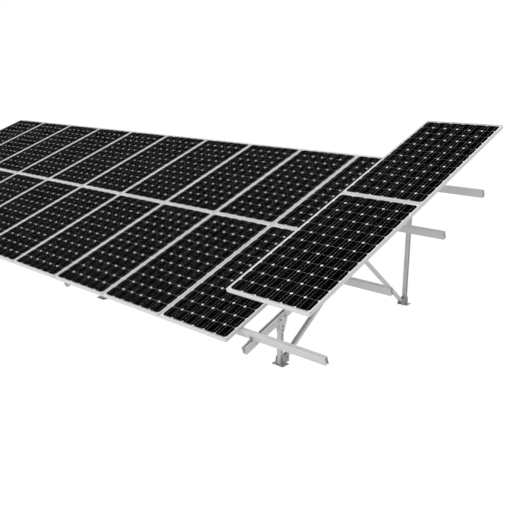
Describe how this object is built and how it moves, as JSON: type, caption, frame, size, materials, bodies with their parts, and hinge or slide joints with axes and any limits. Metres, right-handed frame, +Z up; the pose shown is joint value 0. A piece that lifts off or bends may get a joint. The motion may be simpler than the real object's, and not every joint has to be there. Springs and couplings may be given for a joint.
{
  "type": "solar panel ground mount",
  "caption": "Tilted ground mount for photovoltaic modules: braced steel frames on base shoes carry purlins and two rows of framed modules, with the end pair lifted off.",
  "frame": {"origin": "on the ground, under the middle of the whole mount's box", "axes": "+X along the row towards the lifted end pair, +Y towards the high rear edge, +Z up"},
  "size_m": [11.152, 3.7086, 2.3274],
  "materials": {
    "galvanised_steel": "hot-dip galvanised sheet steel, pale grey with a faint spangle, satin",
    "dark_steel": "dark grey zinc-rich coated steel, dull satin",
    "fasteners": "zinc-plated bolts, washers and nuts",
    "module_frame": "clear anodised extrusion, fine satin",
    "module_glass": "clear tempered solar glass",
    "solar_cells": "near-black monocrystalline cells with bright printed fingers and ribbons under glass",
    "back_sheet": "white polymer back sheet",
    "junction_box": "black moulded plastic"
  },
  "bodies": {
    "root": {"front_post_1": "galvanised_steel", "front_post_2": "galvanised_steel", "front_post_3": "galvanised_steel", "front_post_4": "galvanised_steel", "rear_post_1": "galvanised_steel", "rear_post_2": "galvanised_steel", "rear_post_3": "galvanised_steel", "rear_post_4": "galvanised_steel", "rafter_1": "galvanised_steel", "rafter_2": "galvanised_steel", "rafter_3": "galvanised_steel", "rafter_4": "galvanised_steel", "front_brace_1": "galvanised_steel", "front_brace_2": "galvanised_steel", "front_brace_3": "galvanised_steel", "front_brace_4": "galvanised_steel", "rear_brace_1": "galvanised_steel", "rear_brace_2": "galvanised_steel", "rear_brace_3": "galvanised_steel", "rear_brace_4": "galvanised_steel", "front_shoes": "dark_steel", "rear_shoes": "dark_steel", "side_plates_1": "galvanised_steel", "side_plates_2": "galvanised_steel", "side_plates_3": "galvanised_steel", "side_plates_4": "galvanised_steel", "purlin_1_left": "galvanised_steel", "purlin_1_right": "galvanised_steel", "purlin_2_left": "galvanised_steel", "purlin_2_right": "galvanised_steel", "purlin_3_left": "galvanised_steel", "purlin_3_right": "galvanised_steel", "purlin_4_left": "galvanised_steel", "purlin_4_right": "galvanised_steel", "purlin_cleats": "dark_steel", "purlin_splices": "galvanised_steel", "frame_bolts": "fasteners", "cleat_bolts": "fasteners", "splice_bolts": "fasteners", "module_bolts": "fasteners", "module_frames_01": "module_frame", "module_frames_02": "module_frame", "module_frames_03": "module_frame", "module_frames_04": "module_frame", "module_frames_05": "module_frame", "module_frames_06": "module_frame", "module_frames_07": "module_frame", "module_frames_08": "module_frame", "module_frames_09": "module_frame", "module_frames_10": "module_frame", "module_frames_11": "module_frame", "lower_glass": "module_glass", "upper_glass": "module_glass", "lower_cells": "solar_cells", "upper_cells": "solar_cells", "lower_backsheets": "back_sheet", "upper_backsheets": "back_sheet", "lower_junction_boxes": "junction_box", "upper_junction_boxes": "junction_box"}
  },
  "joints": []
}
